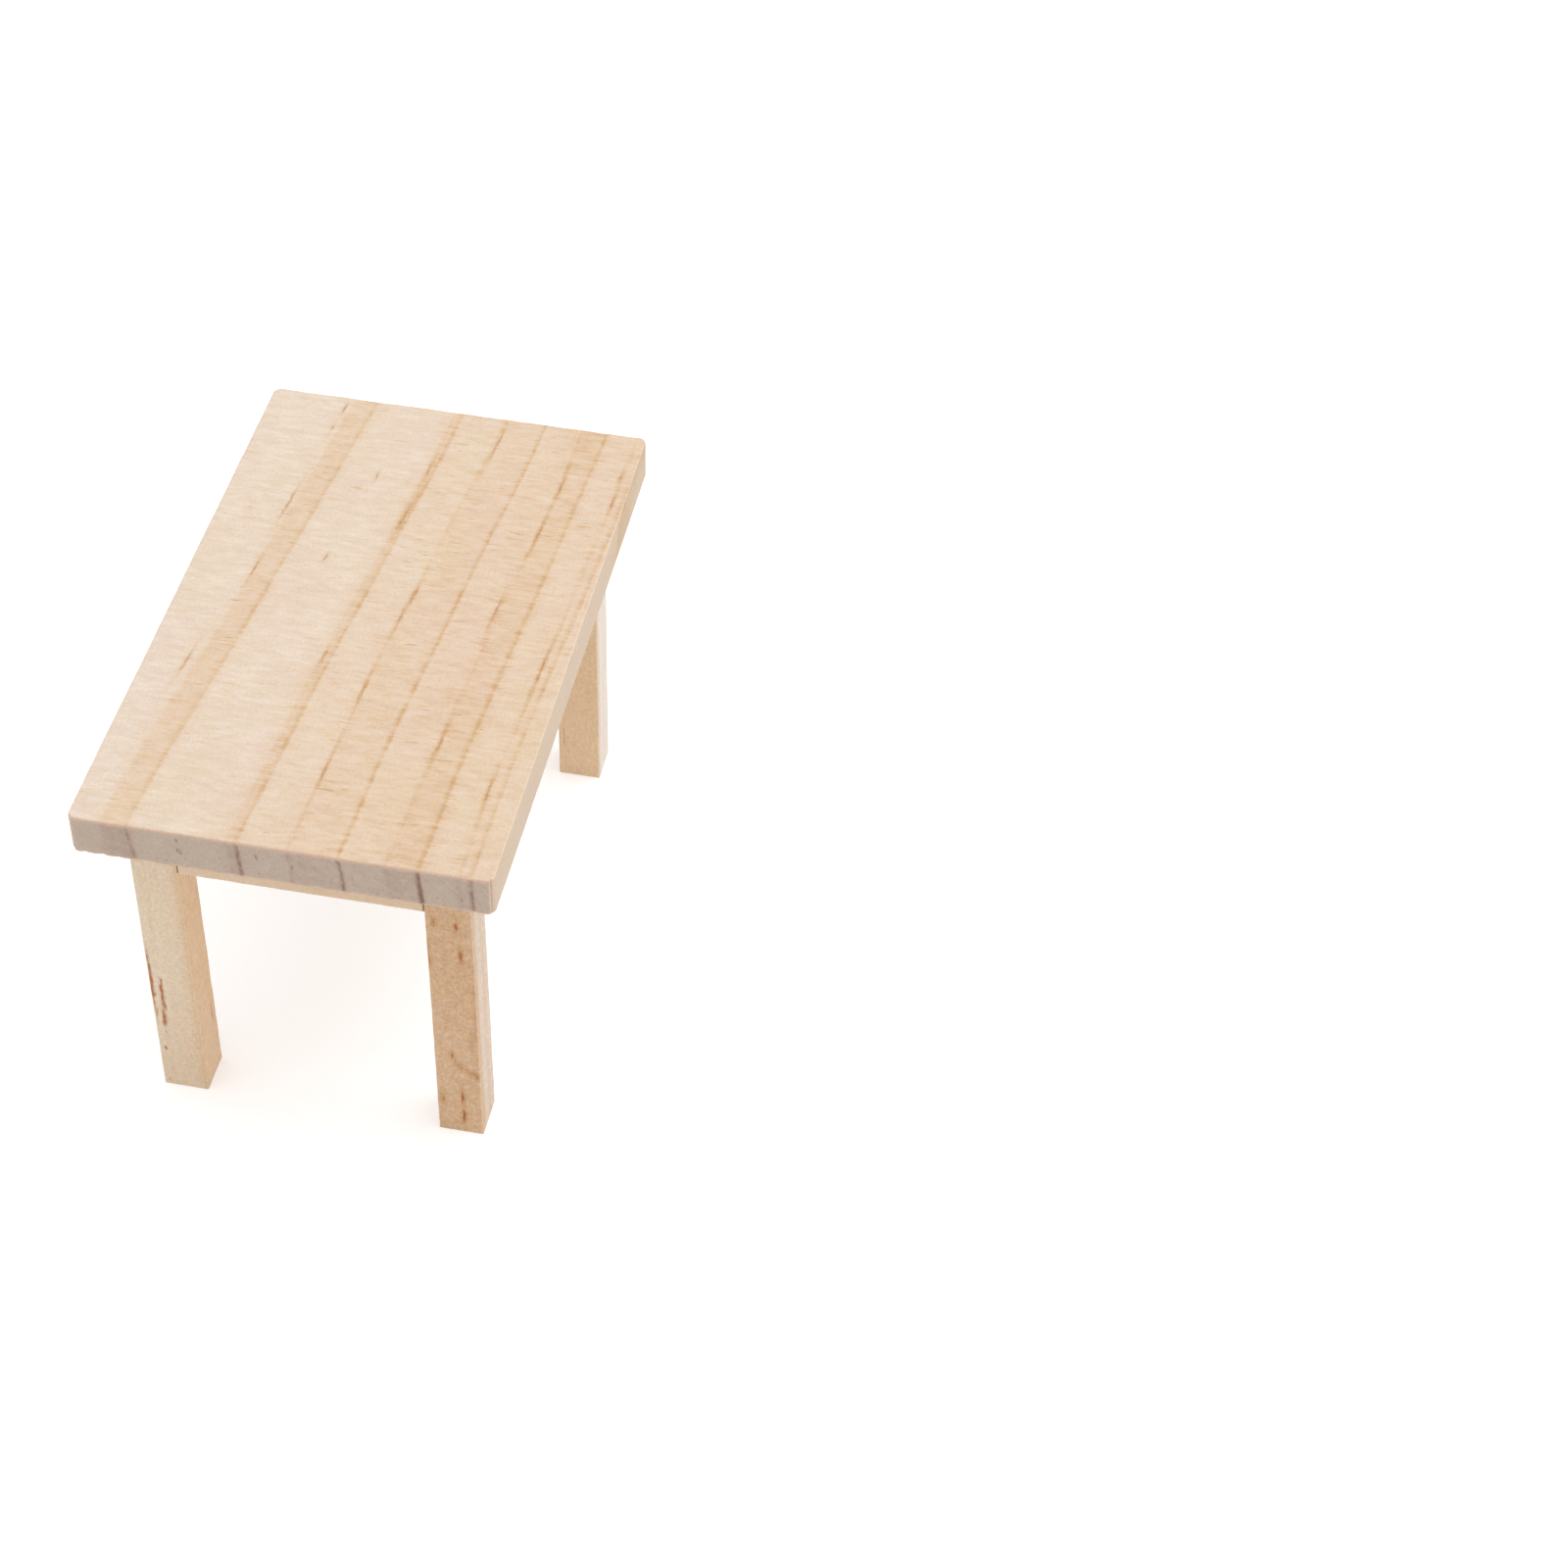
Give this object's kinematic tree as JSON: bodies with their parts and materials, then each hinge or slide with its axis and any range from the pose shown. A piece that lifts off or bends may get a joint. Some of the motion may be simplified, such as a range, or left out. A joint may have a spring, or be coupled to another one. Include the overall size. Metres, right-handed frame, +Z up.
{
  "type": "miniature dining table",
  "caption": "Plain rectangular dolls house dining table in bare pine: thick board top on square legs, joined by a frame of aprons.",
  "frame": {"origin": "on the floor, below the middle of the tabletop", "axes": "+X along the table's length, +Y across its width towards the back, +Z up"},
  "size_m": [0.09, 0.055, 0.057],
  "materials": {
    "pine_board": "bare sanded pine, plain-sawn, grain along the length",
    "pine_leg": "bare planed pine stick, grain along the leg",
    "pine_apron": "bare planed pine stick, grain along the apron",
    "dried_glue": "dried brown wood glue, dull"
  },
  "bodies": {
    "root": {"tabletop": "pine_board", "leg_front_left": "pine_leg", "leg_front_right": "pine_leg", "leg_back_left": "pine_leg", "leg_back_right": "pine_leg", "long_apron_front": "pine_apron", "long_apron_back": "pine_apron", "end_apron_left": "pine_apron", "end_apron_right": "pine_apron", "glue_under_top": "dried_glue", "glue_apron_ends": "dried_glue"}
  },
  "joints": []
}
